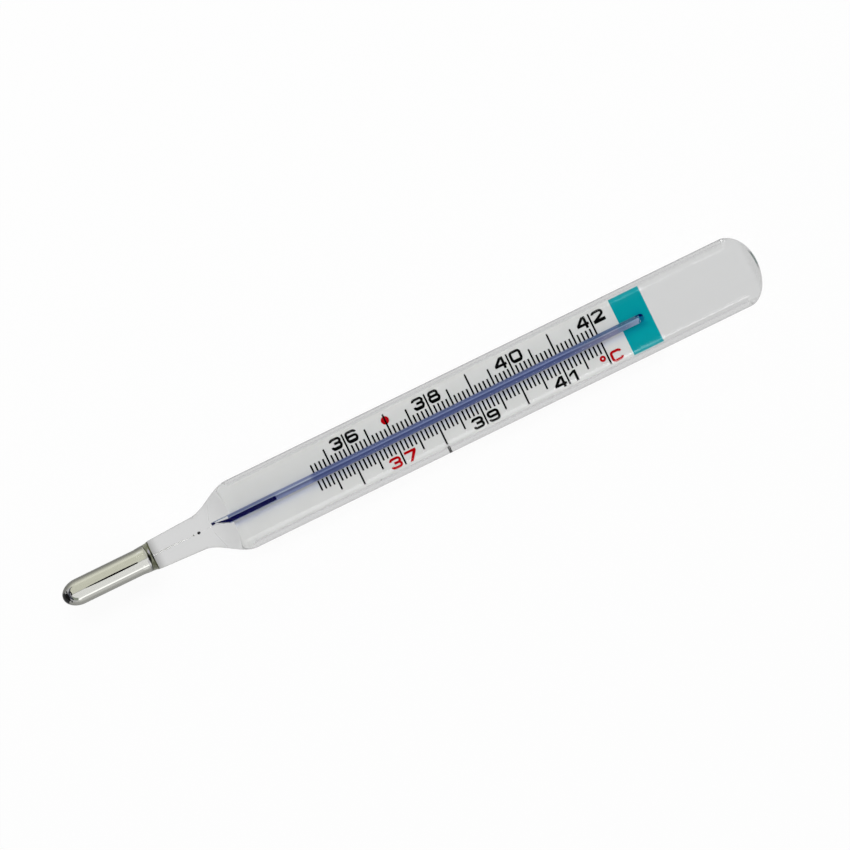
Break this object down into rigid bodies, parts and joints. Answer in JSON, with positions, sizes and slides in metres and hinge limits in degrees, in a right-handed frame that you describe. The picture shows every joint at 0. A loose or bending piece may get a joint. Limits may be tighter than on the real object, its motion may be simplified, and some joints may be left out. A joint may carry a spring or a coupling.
{
  "type": "clinical thermometer",
  "caption": "Flat glass clinical thermometer with a metal-filled bulb, a capillary over a printed plate and a rising metal thread that shows body temperature.",
  "frame": {"origin": "under the middle of the part's length and width, on its flat back", "axes": "+X from the bulb's tip to the sealed end, +Y across the scale towards the tops of its numerals, +Z out of the scale's face"},
  "size_m": [0.125, 0.012, 0.007],
  "materials": {
    "clear_glass": "fire-polished clear glass",
    "weld_glass": "fused glass over metal",
    "capillary_glass": "drawn clear glass",
    "liquid_metal": "mirror-bright liquid metal",
    "thread_metal": "liquid metal over blue enamel",
    "blue_enamel": "fused blue enamel",
    "white_plate": "smooth white",
    "teal_ink": "printed",
    "black_ink": "printed",
    "red_ink": "printed",
    "mark_ink": "fired-in ink",
    "clear_cement": "soft clear cement"
  },
  "bodies": {
    "body": {"sheath": "clear_glass", "stem": "clear_glass", "weld_ring": "weld_glass", "bulb_shell": "clear_glass", "bulb_metal": "liquid_metal", "neck_metal": "liquid_metal", "constriction_drop": "liquid_metal", "lead_metal": "liquid_metal", "capillary": "capillary_glass", "capillary_stripe": "blue_enamel", "thread_stem": "thread_metal", "scale_plate": "white_plate", "colour_band": "teal_ink", "upper_ticks": "black_ink", "lower_ticks": "black_ink", "black_numerals": "black_ink", "red_numerals": "red_ink", "fever_dot": "red_ink", "plate_cement": "clear_cement", "tube_cement": "clear_cement", "location_mark": "mark_ink"},
    "thread": {"thread_top": "thread_metal"}
  },
  "joints": [
    {"name": "thread_rise", "type": "slide", "parent": "body", "child": "thread", "axis": [1, 0, 0], "range_m": [0, 0.0583], "deforming": ["thread_stem"]}
  ]
}
